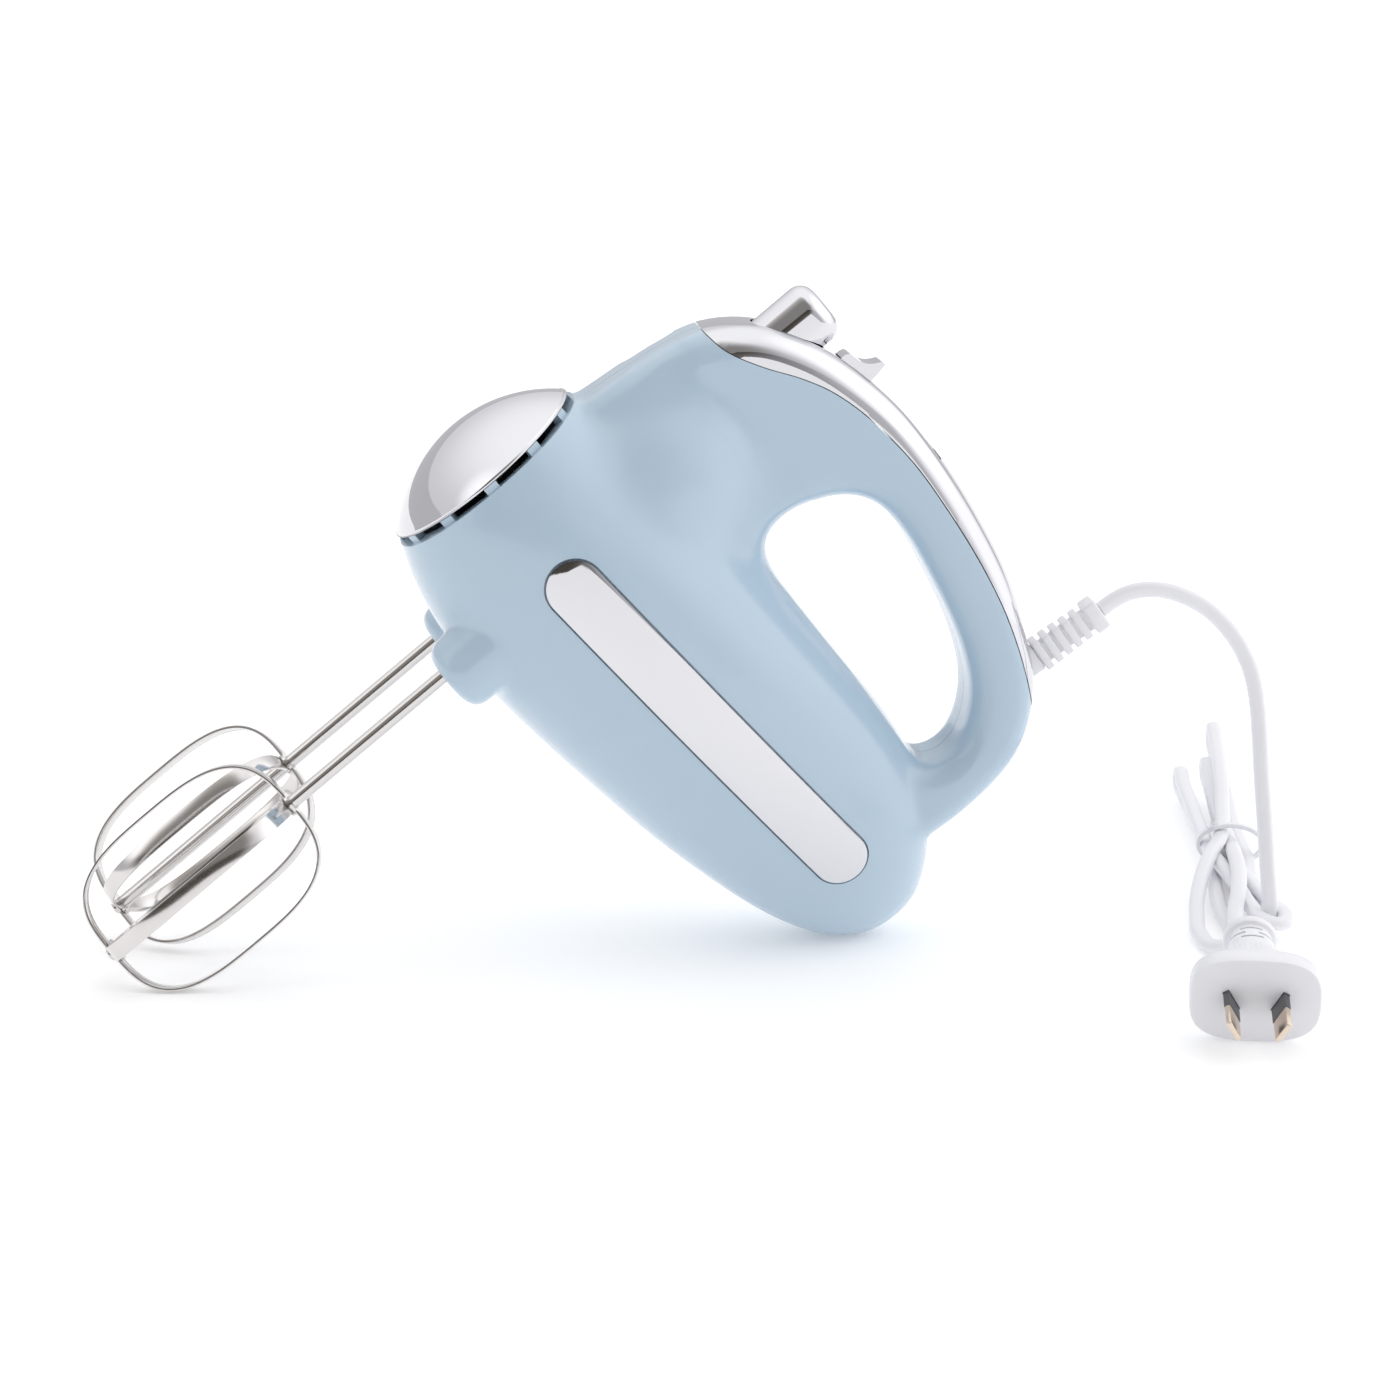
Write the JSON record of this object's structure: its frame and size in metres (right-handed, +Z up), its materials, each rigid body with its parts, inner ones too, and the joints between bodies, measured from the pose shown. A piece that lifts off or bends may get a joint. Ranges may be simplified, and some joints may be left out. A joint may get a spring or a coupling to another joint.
{
  "type": "hand mixer",
  "caption": "Hand-held electric food mixer with an open grip, wire-strip beaters that intermesh, a chrome nose and bands, and a tied mains lead with plug.",
  "frame": {"origin": "on the floor, under the middle of the leaning mixer without its lead", "axes": "+X towards the tail of the mixer, +Y towards its right-hand half, +Z up; the mixer leans on its heel and its beaters"},
  "size_m": [0.3975, 0.2724, 0.2023],
  "materials": {
    "shell_blue": "glossy pale blue enamel-like moulding",
    "chrome_trim": "mirror-bright plated plastic",
    "polished_steel": "bright polished stainless",
    "core_steel": "dull laminated steel",
    "copper": "enamelled copper wire",
    "brass": "bright brass",
    "carbon": "dull black carbon",
    "nylon": "natural white nylon",
    "black_plastic": "satin black",
    "board_green": "green laminate",
    "white_vinyl": "soft white vinyl, slightly glossy"
  },
  "bodies": {
    "housing": {"housing_left": "shell_blue", "side_band_left": "chrome_trim", "brush_holder_left": "brass", "brush_left": "carbon", "housing_right": "shell_blue", "side_band_right": "chrome_trim", "brush_holder_right": "brass", "brush_right": "carbon", "nose_dome": "chrome_trim", "handle_trim": "chrome_trim", "handle_inlay": "chrome_trim", "eject_spring": "polished_steel", "speed_switch": "black_plastic", "control_board": "board_green", "capacitor": "board_green", "stator_core": "core_steel", "field_coil_upper": "copper", "field_coil_lower": "copper", "bearing_front": "brass", "bearing_middle": "brass", "bearing_rear": "brass", "motor_bracket": "nylon", "gearbox_base": "nylon", "gearbox_cover": "nylon", "housing_screw_1": "core_steel", "housing_screw_2": "core_steel", "housing_screw_3": "core_steel", "housing_screw_4": "core_steel", "housing_screw_5": "core_steel", "cord_clamp": "nylon", "strain_relief": "white_vinyl", "cord_lead": "white_vinyl", "cord_hank": "white_vinyl", "cord_tie": "white_vinyl", "cord_plug_end": "white_vinyl", "plug_body": "white_vinyl", "plug_pin_left": "brass", "plug_pin_right": "brass"},
    "armature": {"motor_shaft": "polished_steel", "armature_core": "core_steel", "winding_front": "copper", "winding_rear": "copper", "commutator": "copper", "fan": "black_plastic", "worm": "brass"},
    "eject": {"eject_button": "chrome_trim", "ejector_fork": "nylon"},
    "slider": {"speed_slider": "chrome_trim"},
    "spindle_left": {"spindle_left": "polished_steel", "worm_wheel_left": "nylon"},
    "ejector_left": {"ejector_pin_left": "polished_steel"},
    "beater_left": {"beater_rod_left": "polished_steel", "beater_wide_loop_left": "polished_steel", "beater_cross_loop_left": "polished_steel"},
    "spindle_right": {"spindle_right": "polished_steel", "worm_wheel_right": "nylon"},
    "ejector_right": {"ejector_pin_right": "polished_steel"},
    "beater_right": {"beater_rod_right": "polished_steel", "beater_wide_loop_right": "polished_steel", "beater_cross_loop_right": "polished_steel"}
  },
  "joints": [
    {"name": "motor_spin", "type": "hinge", "parent": "housing", "child": "armature", "pos_m": [-0.01185, 0.0012, 0.1227], "axis": [0.6332, 0, -0.774], "continuous": true},
    {"name": "eject_press", "type": "slide", "parent": "housing", "child": "eject", "axis": [-0.774, 0, -0.6332], "range_m": [0, 0.008], "stiffness_N_per_m": 350, "springref_m": -0.006, "deforming": ["eject_spring"]},
    {"name": "speed_slide", "type": "slide", "parent": "housing", "child": "slider", "axis": [0.7228, 0, -0.6911], "range_m": [0, 0.016]},
    {"name": "spindle_spin_left", "type": "hinge", "parent": "housing", "child": "spindle_left", "pos_m": [-0.04745, -0.0195, 0.09358], "axis": [0.774, 0, 0.6332], "continuous": true},
    {"name": "ejector_push_left", "type": "slide", "parent": "spindle_left", "child": "ejector_left", "axis": [-0.774, 0, -0.6332], "range_m": [0, 0.008]},
    {"name": "beater_pull_left", "type": "slide", "parent": "ejector_left", "child": "beater_left", "axis": [-0.774, 0, -0.6332], "range_m": [0, 0.04]},
    {"name": "spindle_spin_right", "type": "hinge", "parent": "housing", "child": "spindle_right", "pos_m": [-0.04745, 0.0219, 0.09358], "axis": [0.774, 0, 0.6332], "continuous": true},
    {"name": "ejector_push_right", "type": "slide", "parent": "spindle_right", "child": "ejector_right", "axis": [-0.774, 0, -0.6332], "range_m": [0, 0.008]},
    {"name": "beater_pull_right", "type": "slide", "parent": "ejector_right", "child": "beater_right", "axis": [-0.774, 0, -0.6332], "range_m": [0, 0.04]}
  ],
  "couplings": [
    {"joint": "spindle_spin_left", "follows": "motor_spin", "ratio": 0.05},
    {"joint": "spindle_spin_right", "follows": "motor_spin", "ratio": -0.05},
    {"joint": "ejector_push_left", "follows": "eject_press", "ratio": 1},
    {"joint": "ejector_push_right", "follows": "eject_press", "ratio": 1}
  ]
}
